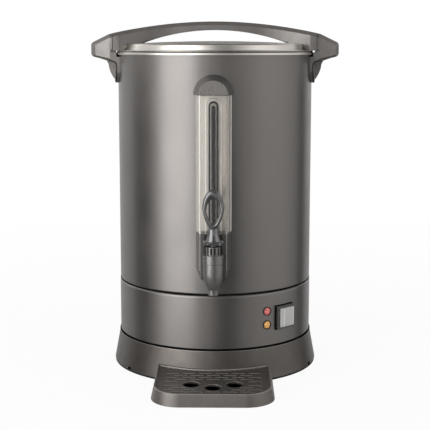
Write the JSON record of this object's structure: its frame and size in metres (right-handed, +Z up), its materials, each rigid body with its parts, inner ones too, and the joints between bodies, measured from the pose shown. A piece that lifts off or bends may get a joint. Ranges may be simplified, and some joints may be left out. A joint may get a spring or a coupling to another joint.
{
  "type": "coffee urn",
  "caption": "Percolator coffee urn: painted double-wall body, twist-off lid with arched handle, sight gauge over a lever tap, rocker switch with pilot lamps, flared base and drip tray",
  "frame": {"origin": "on the urn's axis, on the table that its foot ring rests on", "axes": "+Z up, -Y to the front where the tap is, +X to the right of someone facing the tap"},
  "size_m": [0.3038, 0.3487, 0.4255],
  "materials": {
    "painted_body": "satin",
    "stainless": "brushed",
    "fasteners": "satin",
    "handle_plastic": "satin",
    "base_plastic": "fine grain",
    "gauge_plastic": "fine grain",
    "tap_plastic": "satin",
    "lever_plastic": "gloss",
    "guard_clear": "clear moulded",
    "gauge_glass": "clear",
    "rubber": "matt",
    "silicone": "matt",
    "heater_metal": "cast",
    "black_plastic": "satin",
    "terminal_white": "satin",
    "boot_clear": "soft clear",
    "rocker_grey": "gloss",
    "red_lens": "gloss",
    "amber_lens": "gloss"
  },
  "bodies": {
    "urn": {"outer_shell": "painted_body", "lower_skirt": "painted_body", "inner_tank": "stainless", "base_plate": "stainless", "gauge_backplate": "stainless", "base_studs": "fasteners", "base_nuts": "fasteners", "side_handle_screws": "fasteners", "gauge_screws": "fasteners", "tap_nut": "fasteners", "tap_spring": "fasteners", "side_handle_left": "handle_plastic", "side_handle_right": "handle_plastic", "base_ring": "base_plastic", "gauge_cap": "gauge_plastic", "tap_housing": "gauge_plastic", "tap_body": "tap_plastic", "tap_bonnet": "tap_plastic", "gauge_guard": "guard_clear", "gauge_tube": "gauge_glass", "foot_ring": "rubber", "gauge_seal": "silicone", "tap_washers": "silicone", "heater_plate": "heater_metal", "heating_element": "heater_metal", "brew_thermostat": "black_plastic", "thermal_cutout": "black_plastic", "wiring": "black_plastic", "switch_frame": "black_plastic", "lamp_collars": "black_plastic", "cord_gland": "black_plastic", "gland_nut": "black_plastic", "terminal_block": "terminal_white", "switch_boot": "boot_clear", "red_lamp": "red_lens", "amber_lamp": "amber_lens"},
    "lid_seal": {"lid_seal": "rubber"},
    "lid": {"lid_dish": "stainless", "lid_handle": "handle_plastic", "lid_screws": "fasteners"},
    "basket": {"brew_basket": "stainless", "pump_tube": "stainless"},
    "cover": {"basket_cover": "stainless"},
    "stem": {"tap_stem": "tap_plastic", "seat_cup": "silicone"},
    "lever": {"tap_lever": "lever_plastic", "lever_pin": "fasteners"},
    "rocker": {"switch_rocker": "rocker_grey"},
    "tray": {"drip_tray": "base_plastic"},
    "grille": {"drip_grille": "base_plastic"}
  },
  "joints": [
    {"name": "lid_lift", "type": "slide", "parent": "urn", "child": "lid_seal", "axis": [0, 0, 1], "range_m": [0, 0.33]},
    {"name": "lid_turn", "type": "hinge", "parent": "lid_seal", "child": "lid", "pos_m": [0, 0, 0.389], "axis": [0, 0, 1], "range_deg": [0, 30]},
    {"name": "basket_lift", "type": "slide", "parent": "urn", "child": "basket", "axis": [0, 0, 1], "range_m": [0, 0.297]},
    {"name": "cover_lift", "type": "slide", "parent": "basket", "child": "cover", "axis": [0, 0, 1], "range_m": [0, 0.0165]},
    {"name": "stem_lift", "type": "slide", "parent": "urn", "child": "stem", "axis": [0, 0, 1], "range_m": [0, 0.004], "deforming": ["tap_spring"]},
    {"name": "lever_tilt", "type": "hinge", "parent": "stem", "child": "lever", "pos_m": [0, -0.151, 0.1753], "axis": [1, 0, 0], "range_deg": [0, 45], "stiffness_Nm_per_rad": 0.3},
    {"name": "rocker_press", "type": "hinge", "parent": "urn", "child": "rocker", "pos_m": [0.08361, -0.08538, 0.0735], "axis": [-0.7145, -0.6997, 0], "range_deg": [0, 14]},
    {"name": "tray_slide", "type": "slide", "parent": "urn", "child": "tray", "axis": [0, -1, 0], "range_m": [0, 0.12]},
    {"name": "grille_lift", "type": "slide", "parent": "tray", "child": "grille", "axis": [0, 0, 1], "range_m": [0, 0.05]}
  ],
  "couplings": [
    {"joint": "basket_lift", "follows": "lid_lift", "ratio": 0.9},
    {"joint": "cover_lift", "follows": "lid_lift", "ratio": 0.05},
    {"joint": "stem_lift", "follows": "lever_tilt", "m_per_rad": 0.005}
  ]
}
